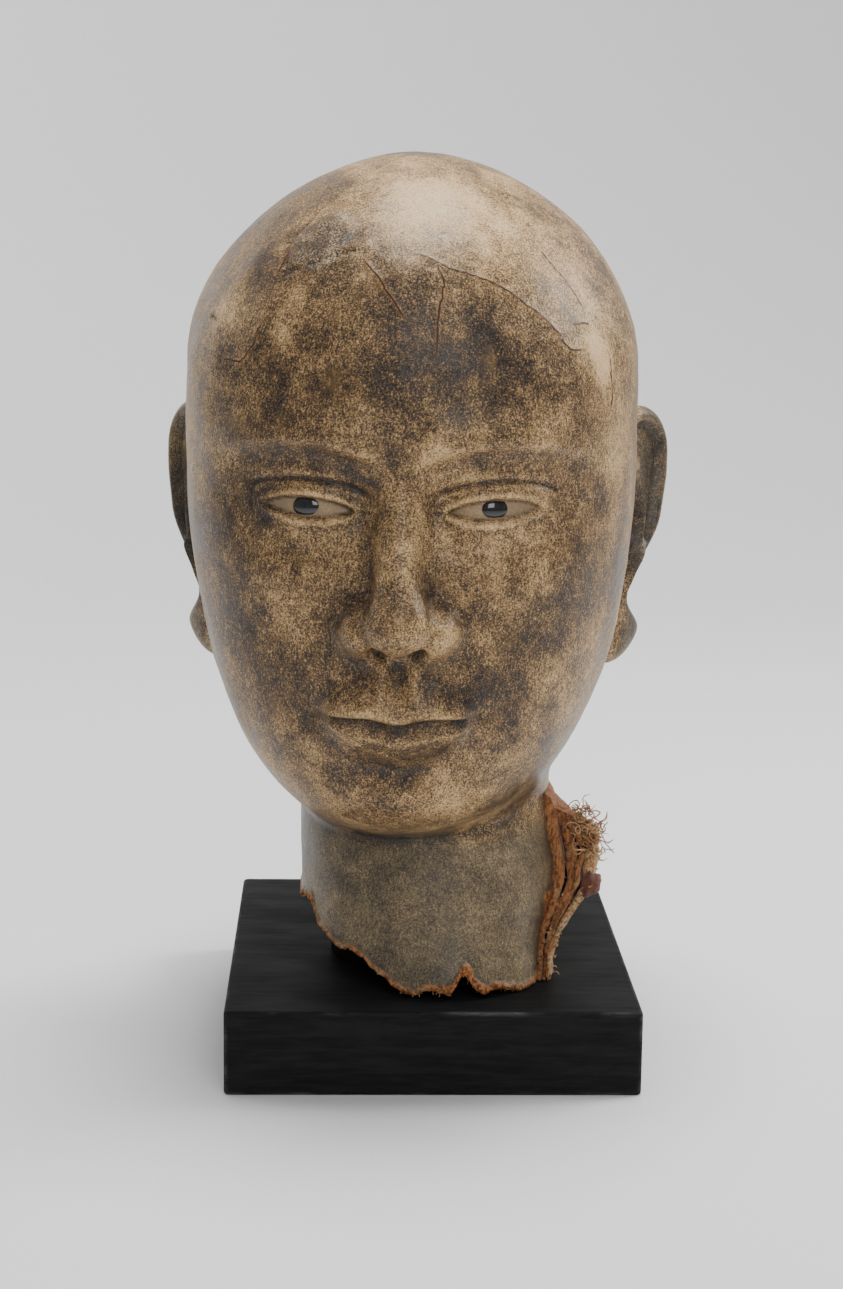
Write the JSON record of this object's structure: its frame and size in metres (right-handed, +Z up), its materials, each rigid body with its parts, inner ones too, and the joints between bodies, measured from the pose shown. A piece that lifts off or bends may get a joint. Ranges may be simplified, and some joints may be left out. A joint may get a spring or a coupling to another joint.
{
  "type": "head sculpture",
  "caption": "Life-size bald head in hollow dry lacquer, broken off through the neck, with long-lobed ears and inset glass eyes, set over a round post on a black block.",
  "frame": {"origin": "centre of the block's underside", "axes": "+Z up, the face looks along -Y, +X is the viewer's right"},
  "size_m": [0.1894, 0.2228, 0.322],
  "materials": {
    "black_wood": "satin black paint",
    "lacquer": "worn brown lacquer over cloth, satin and mottled",
    "black_glass": "polished"
  },
  "bodies": {
    "root": {"base_block": "black_wood", "post": "black_wood", "head": "lacquer", "eye_inlay_left": "black_glass", "eye_inlay_right": "black_glass"}
  },
  "joints": []
}
